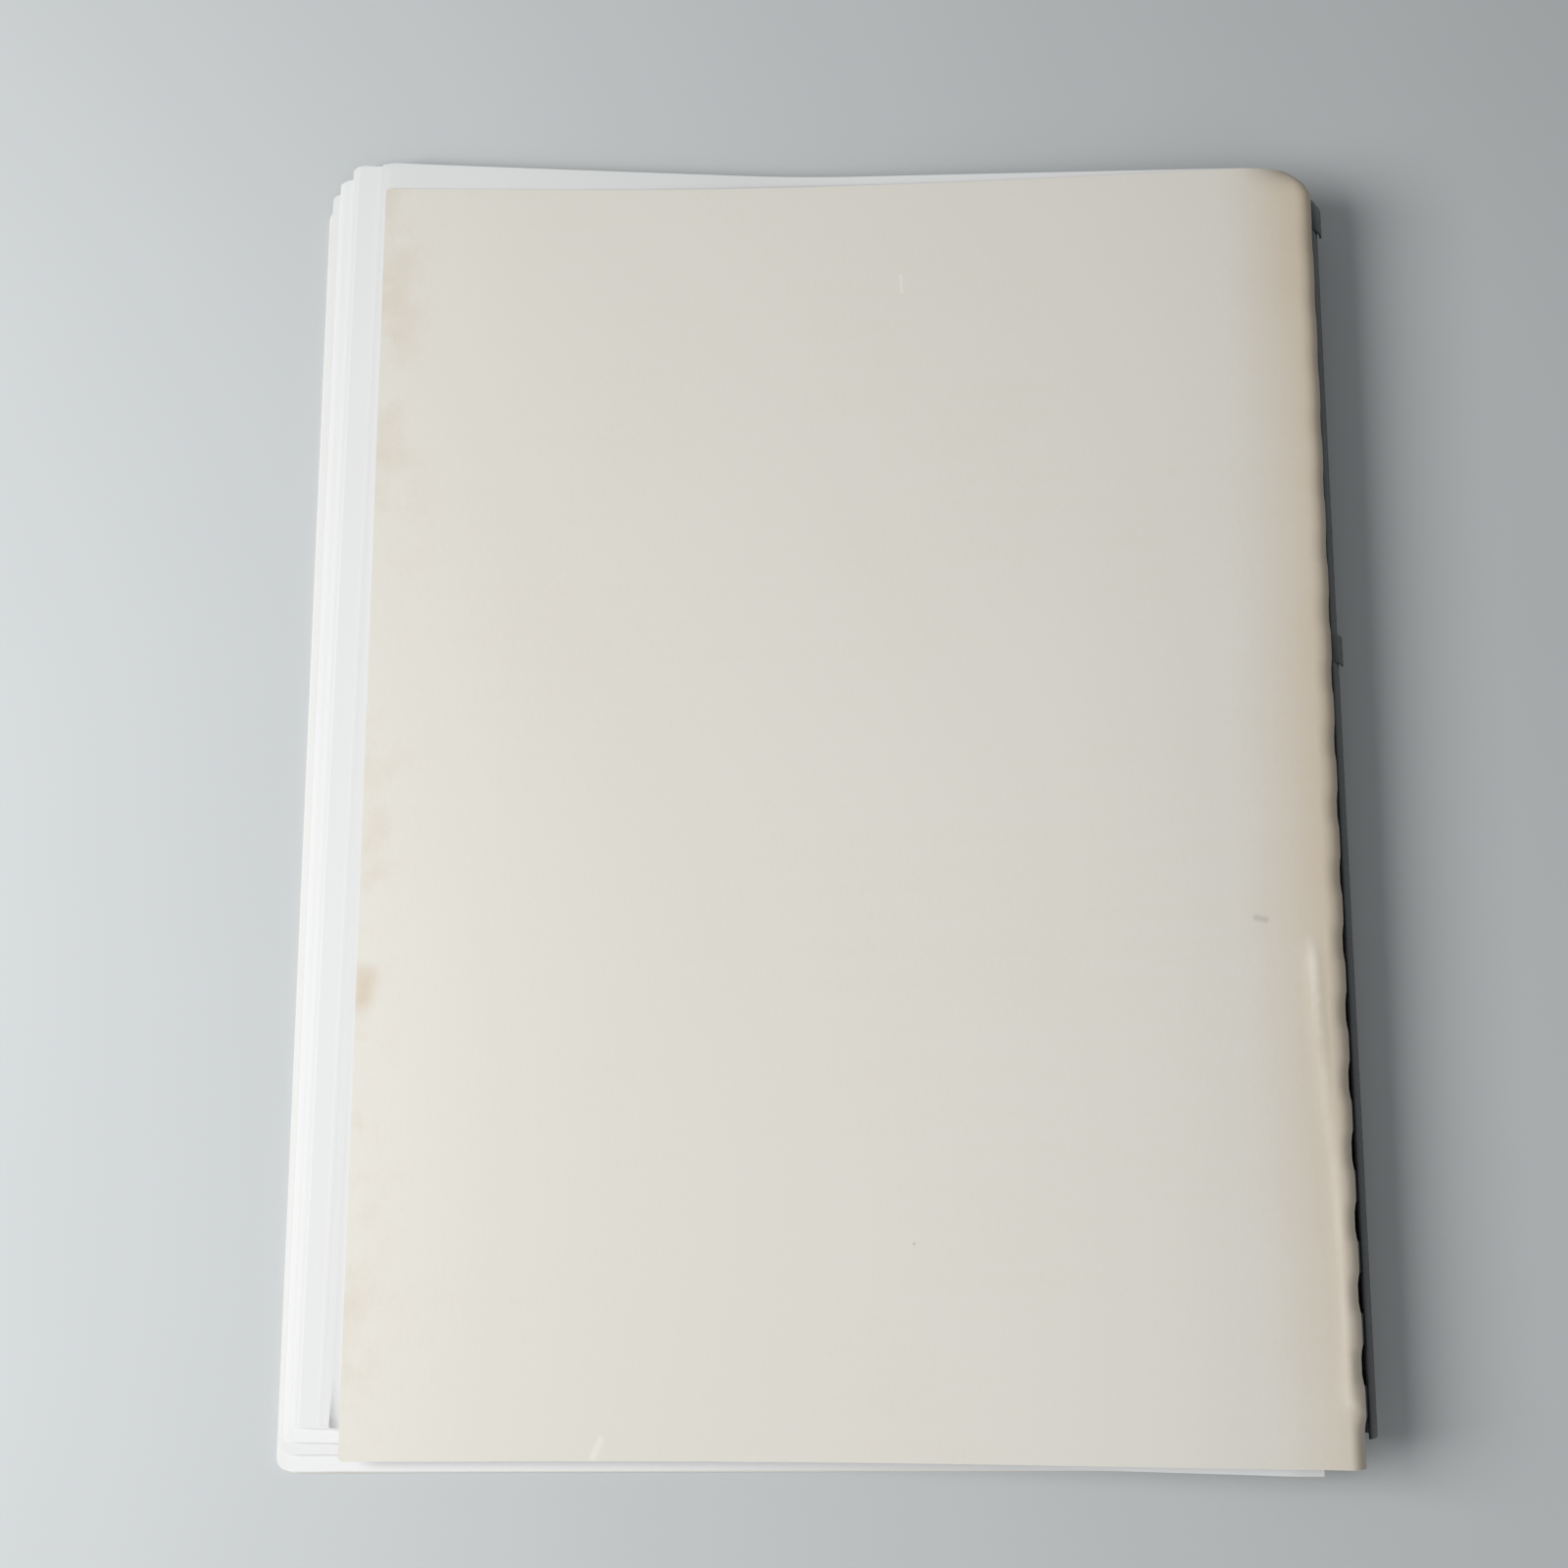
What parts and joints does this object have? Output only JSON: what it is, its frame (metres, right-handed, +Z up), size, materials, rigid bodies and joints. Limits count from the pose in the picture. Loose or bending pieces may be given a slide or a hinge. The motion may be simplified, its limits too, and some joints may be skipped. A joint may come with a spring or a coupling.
{
  "type": "comb-bound book",
  "caption": "Comb-bound book lying on its front cover: plain card covers and paper leaves threaded on a curled plastic comb, which opens leaf by leaf.",
  "frame": {"origin": "on the underside of the front cover, level with the middle of the comb", "axes": "+X from the fore edge to the comb, +Y along the comb, +Z up from the table through the sheets"},
  "size_m": [0.2274, 0.2891, 0.0198],
  "materials": {
    "comb_plastic": "satin to gloss black moulded plastic",
    "cover_card": "smooth uncoated cream card, a little yellowed",
    "leaf_paper": "matt white office paper"
  },
  "bodies": {
    "front_cover": {"front_cover": "cover_card"},
    "comb": {"comb": "comb_plastic"},
    "packet_a": {"leaf_01": "leaf_paper", "leaf_02": "leaf_paper", "leaf_03": "leaf_paper", "leaf_04": "leaf_paper", "leaf_05": "leaf_paper"},
    "packet_b": {"leaf_06": "leaf_paper", "leaf_07": "leaf_paper", "leaf_08": "leaf_paper", "leaf_09": "leaf_paper", "leaf_10": "leaf_paper"},
    "packet_c": {"leaf_11": "leaf_paper", "leaf_12": "leaf_paper", "leaf_13": "leaf_paper", "leaf_14": "leaf_paper", "leaf_15": "leaf_paper"},
    "packet_d": {"leaf_16": "leaf_paper", "leaf_17": "leaf_paper", "leaf_18": "leaf_paper", "leaf_19": "leaf_paper", "leaf_20": "leaf_paper"},
    "packet_e": {"leaf_21": "leaf_paper", "leaf_22": "leaf_paper", "leaf_23": "leaf_paper", "leaf_24": "leaf_paper", "leaf_25": "leaf_paper"},
    "back_cover": {"back_cover": "cover_card"}
  },
  "joints": [
    {"name": "back_cover_turn", "type": "hinge", "parent": "front_cover", "child": "back_cover", "pos_m": [0.104, 0, 0.00915], "axis": [0, 1, 0], "range_deg": [0, 130]},
    {"name": "packet_a_turn", "type": "hinge", "parent": "front_cover", "child": "packet_a", "pos_m": [0.104, 0, 0.00915], "axis": [0, 1, 0], "range_deg": [0, 6.5]},
    {"name": "packet_b_turn", "type": "hinge", "parent": "front_cover", "child": "packet_b", "pos_m": [0.104, 0, 0.00915], "axis": [0, 1, 0], "range_deg": [0, 32.5]},
    {"name": "packet_c_turn", "type": "hinge", "parent": "front_cover", "child": "packet_c", "pos_m": [0.104, 0, 0.00915], "axis": [0, 1, 0], "range_deg": [0, 58.5]},
    {"name": "packet_d_turn", "type": "hinge", "parent": "front_cover", "child": "packet_d", "pos_m": [0.104, 0, 0.00915], "axis": [0, 1, 0], "range_deg": [0, 84.5]},
    {"name": "packet_e_turn", "type": "hinge", "parent": "front_cover", "child": "packet_e", "pos_m": [0.104, 0, 0.00915], "axis": [0, 1, 0], "range_deg": [0, 110.5]},
    {"name": "comb_roll", "type": "hinge", "parent": "front_cover", "child": "comb", "pos_m": [0.104, 0, 0.00915], "axis": [0, 1, 0], "range_deg": [0, 130]}
  ],
  "couplings": [
    {"joint": "packet_a_turn", "follows": "back_cover_turn", "ratio": 0.05},
    {"joint": "packet_b_turn", "follows": "back_cover_turn", "ratio": 0.25},
    {"joint": "packet_c_turn", "follows": "back_cover_turn", "ratio": 0.45},
    {"joint": "packet_d_turn", "follows": "back_cover_turn", "ratio": 0.65},
    {"joint": "packet_e_turn", "follows": "back_cover_turn", "ratio": 0.85},
    {"joint": "comb_roll", "follows": "back_cover_turn", "ratio": 1}
  ]
}
